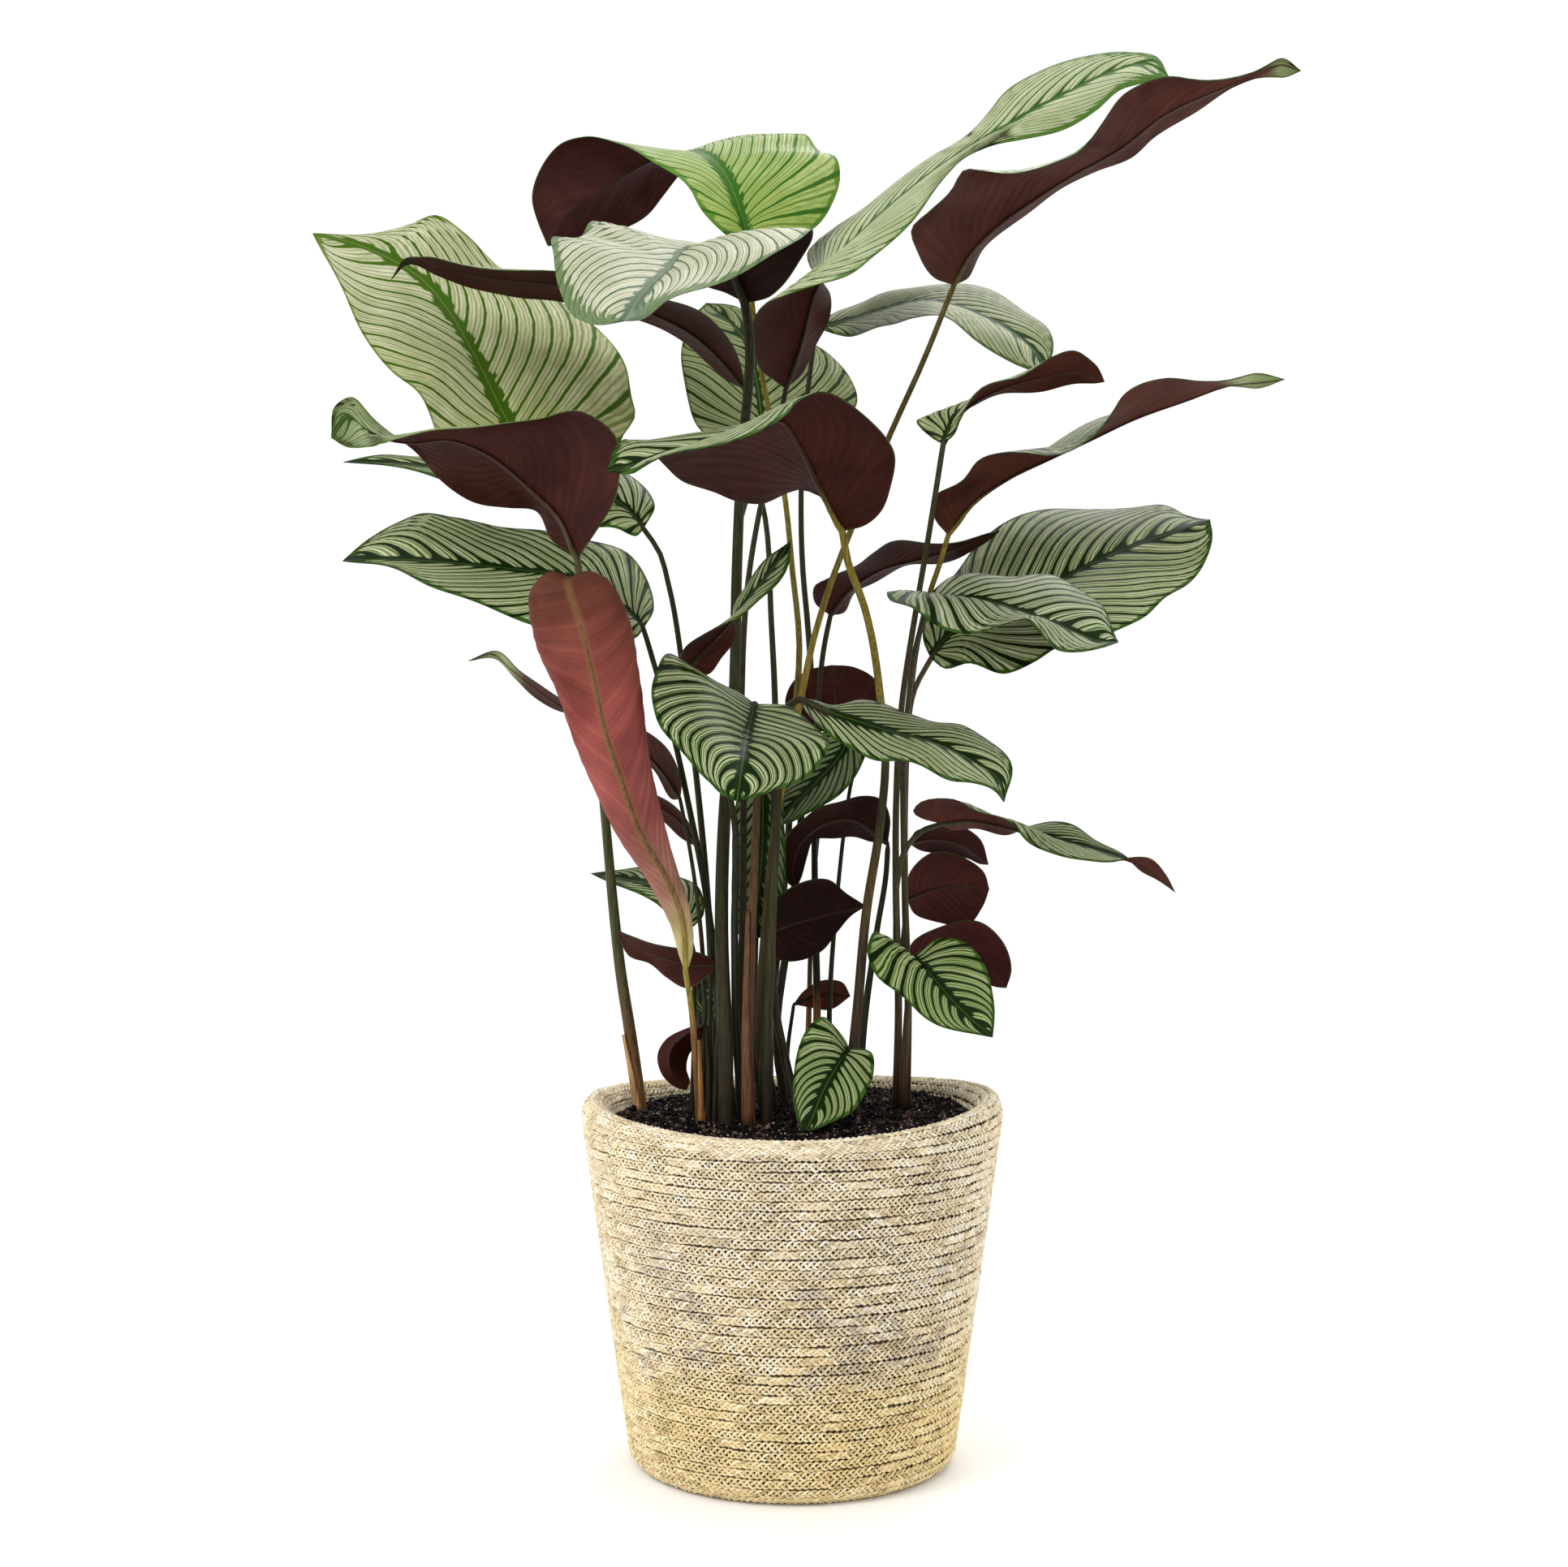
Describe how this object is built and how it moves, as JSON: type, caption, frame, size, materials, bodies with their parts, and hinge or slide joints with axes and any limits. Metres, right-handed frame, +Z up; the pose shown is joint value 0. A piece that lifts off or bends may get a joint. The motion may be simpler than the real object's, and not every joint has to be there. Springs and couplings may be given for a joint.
{
  "type": "potted calathea",
  "caption": "Potted calathea: striped leaves with burgundy undersides on tall stalks, standing in soil in a tapering round seagrass basket with a liner.",
  "frame": {"origin": "on the flat bottom of the basket, under its axis", "axes": "+Z up along the basket's axis and the stalks, +X to the viewer's right, -Y towards the viewer of the picture"},
  "size_m": [0.6397, 0.422, 0.9056],
  "materials": {
    "seagrass": "matte",
    "liner_plastic": "satin",
    "potting_soil": "matte",
    "leaf": "satin",
    "young_leaf": "satin"
  },
  "bodies": {
    "root": {"arching": "leaf", "backlit": "leaf", "basket": "seagrass", "behind_left": "leaf", "big_right": "leaf", "curled_right": "leaf", "dark_behind": "leaf", "dark_centre": "leaf", "dark_crossing": "leaf", "dark_left": "leaf", "dark_reaching_left": "leaf", "facing": "leaf", "facing_right": "leaf", "folded_middle": "leaf", "grazing_striped": "leaf", "hanging_striped": "leaf", "liner": "liner_plastic", "long_dark_right": "leaf", "long_dark_top": "leaf", "long_red_brown": "leaf", "long_top": "leaf", "low_curled_left": "leaf", "low_dark_left": "leaf", "low_green_back": "leaf", "on_soil": "leaf", "over_middle": "leaf", "pale_back": "leaf", "pointed": "leaf", "rolled_pink": "young_leaf", "round_dark_lower": "leaf", "round_dark_upper": "leaf", "short_dark_right": "leaf", "small_brown_left": "leaf", "small_dark_back": "leaf", "small_green_left": "leaf", "soil": "potting_soil", "striped_left": "leaf", "striped_low_right": "leaf", "thin_left": "leaf", "twisted_right": "leaf", "twisted_top": "leaf", "wide_dark": "leaf"}
  },
  "joints": []
}
